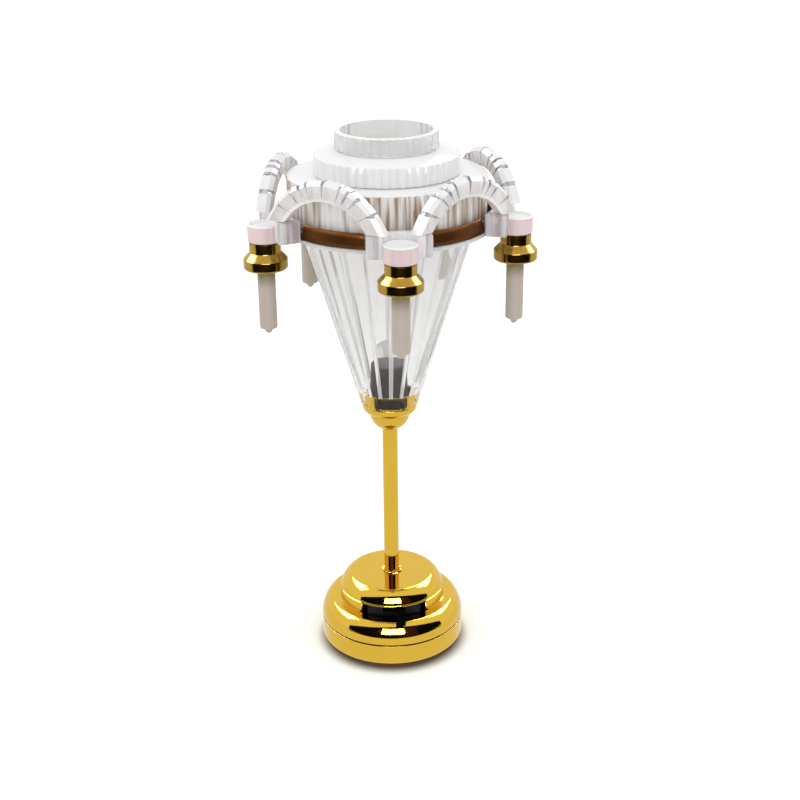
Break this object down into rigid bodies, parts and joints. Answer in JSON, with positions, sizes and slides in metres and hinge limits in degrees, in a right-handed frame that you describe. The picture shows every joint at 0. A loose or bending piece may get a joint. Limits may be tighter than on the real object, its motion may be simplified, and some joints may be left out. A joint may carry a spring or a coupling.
{
  "type": "miniature chandelier",
  "caption": "Battery hanging light for a dolls house: stepped switch canopy, thin stem, fluted clear cone, stepped crown, swag arches and candle cups; stored upside down.",
  "frame": {"origin": "centre of the ceiling plate's flat face, which the part stands on in this pose", "axes": "+Z from the ceiling plate along the stem to the crown, so that in use +Z points down from the ceiling; the switch faces -Y"},
  "size_m": [0.0446, 0.0434, 0.087],
  "materials": {
    "polished_gold": "polished gold plating",
    "aged_brass": "dark brass sheet, lightly polished",
    "clear_plastic": "clear moulded acrylic",
    "candle_plastic": "milky white plastic",
    "black_plastic": "black moulded plastic",
    "lamp_epoxy": "clear epoxy",
    "nickel_steel": "nickel-plated steel",
    "copper": "tinned copper strip",
    "red_insulation": "thin PVC insulation",
    "black_insulation": "thin PVC insulation"
  },
  "bodies": {
    "ceiling_plate": {"ceiling_plate": "polished_gold"},
    "chandelier": {"canopy_shell": "polished_gold", "coin_cell": "nickel_steel", "battery_tray": "black_plastic", "negative_contact": "nickel_steel", "positive_contact": "nickel_steel", "switch_housing": "black_plastic", "switch_terminal_left": "copper", "switch_terminal_middle": "copper", "switch_terminal_right": "copper", "battery_wire": "red_insulation", "lamp_wire_positive": "red_insulation", "lamp_wire_negative": "black_insulation", "stem_tube": "polished_gold", "stem_bead": "polished_gold", "stem_cup": "polished_gold", "cone_seat": "polished_gold", "lamp_holder": "black_plastic", "lamp_lens": "lamp_epoxy", "lamp_leg_positive": "nickel_steel", "lamp_leg_negative": "nickel_steel", "crystal_cone": "clear_plastic", "crown_ring_large": "clear_plastic", "crown_ring_middle": "clear_plastic", "crown_ring_small": "clear_plastic", "crown_band": "aged_brass", "candle_bracket_1": "clear_plastic", "candle_cup_1": "polished_gold", "candle_1": "candle_plastic", "swag_arch_1": "clear_plastic", "candle_bracket_2": "clear_plastic", "candle_cup_2": "polished_gold", "candle_2": "candle_plastic", "swag_arch_2": "clear_plastic", "candle_bracket_3": "clear_plastic", "candle_cup_3": "polished_gold", "candle_3": "candle_plastic", "swag_arch_3": "clear_plastic", "candle_bracket_4": "clear_plastic", "candle_cup_4": "polished_gold", "candle_4": "candle_plastic", "swag_arch_4": "clear_plastic", "candle_bracket_5": "clear_plastic", "candle_cup_5": "polished_gold", "candle_5": "candle_plastic", "swag_arch_5": "clear_plastic"},
    "switch_lever": {"switch_lever": "black_plastic", "switch_wiper": "copper"}
  },
  "joints": [
    {"name": "canopy_pull", "type": "slide", "parent": "ceiling_plate", "child": "chandelier", "axis": [0, 0, 1], "range_m": [0, 0.012]},
    {"name": "switch_slide", "type": "slide", "parent": "chandelier", "child": "switch_lever", "axis": [1, 0, 0], "range_m": [-0.002, 0]}
  ]
}
